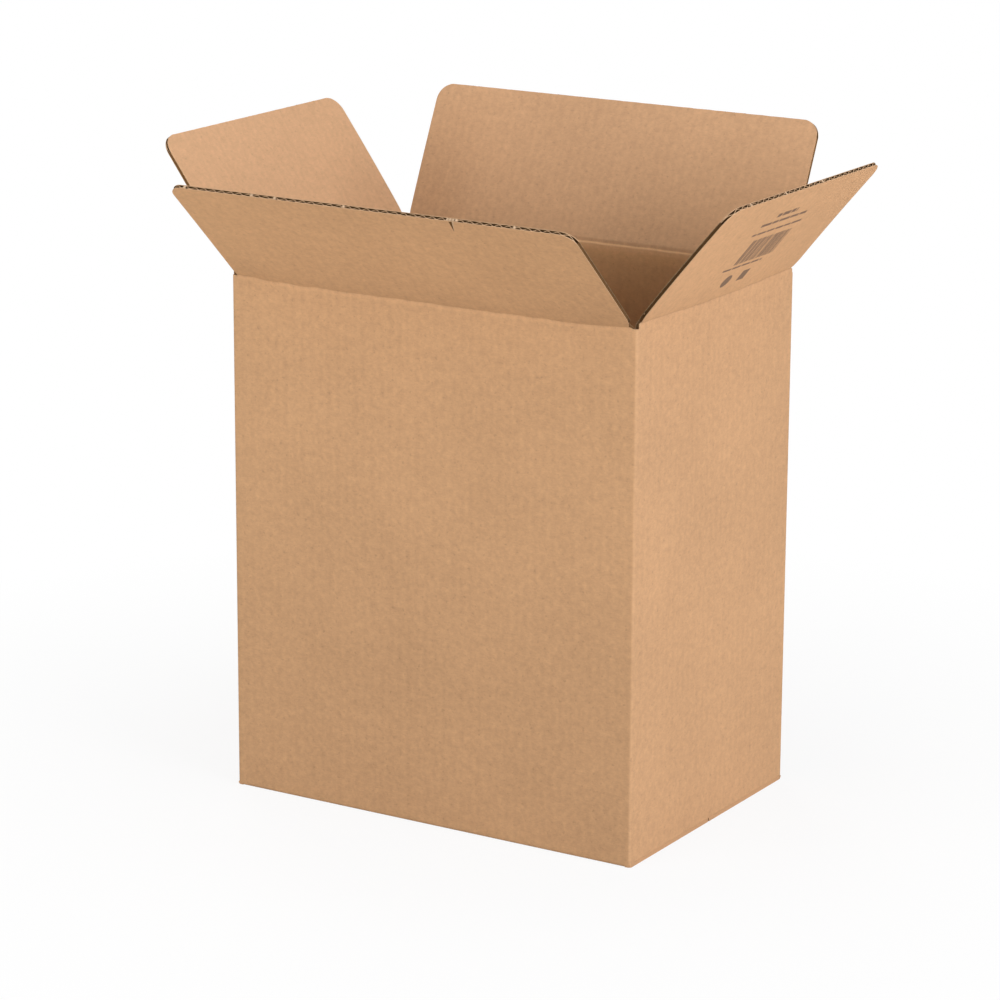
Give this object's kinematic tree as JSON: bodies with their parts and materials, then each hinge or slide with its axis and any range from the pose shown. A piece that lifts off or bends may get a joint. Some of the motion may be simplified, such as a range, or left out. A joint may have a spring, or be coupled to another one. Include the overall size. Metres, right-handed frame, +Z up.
{
  "type": "wine shipping box",
  "caption": "Open corrugated kraft box with four round-cornered hinged top flaps and a slotted bottle partition, for shipping wine bottles upright.",
  "frame": {"origin": "centre of the bottom's underside", "axes": "+X along the long walls towards the right flap, -Y out of the front wall, +Z up"},
  "size_m": [0.408, 0.3109, 0.4259],
  "materials": {
    "kraft_board": "matt brown kraft liner",
    "partition_board": "matt brown kraft liner"
  },
  "bodies": {
    "box": {"box_body": "kraft_board", "divider_long": "partition_board", "divider_cross_left": "partition_board", "divider_cross_right": "partition_board"},
    "front_lid": {"front_flap": "kraft_board"},
    "back_lid": {"back_flap": "kraft_board"},
    "left_lid": {"left_flap": "kraft_board"},
    "right_lid": {"right_flap": "kraft_board"}
  },
  "joints": [
    {"name": "front_crease", "type": "hinge", "parent": "box", "child": "front_lid", "pos_m": [0, -0.099, 0.336], "axis": [1, 0, 0], "range_deg": [-136.9, 128.1]},
    {"name": "back_crease", "type": "hinge", "parent": "box", "child": "back_lid", "pos_m": [0, 0.099, 0.336], "axis": [-1, 0, 0], "range_deg": [-114.9, 150.1]},
    {"name": "right_crease", "type": "hinge", "parent": "box", "child": "right_lid", "pos_m": [0.1455, 0, 0.3388], "axis": [0, 1, 0], "range_deg": [-130, 135]},
    {"name": "left_crease", "type": "hinge", "parent": "box", "child": "left_lid", "pos_m": [-0.1455, 0, 0.3388], "axis": [0, -1, 0], "range_deg": [-125.9, 139.1]}
  ]
}
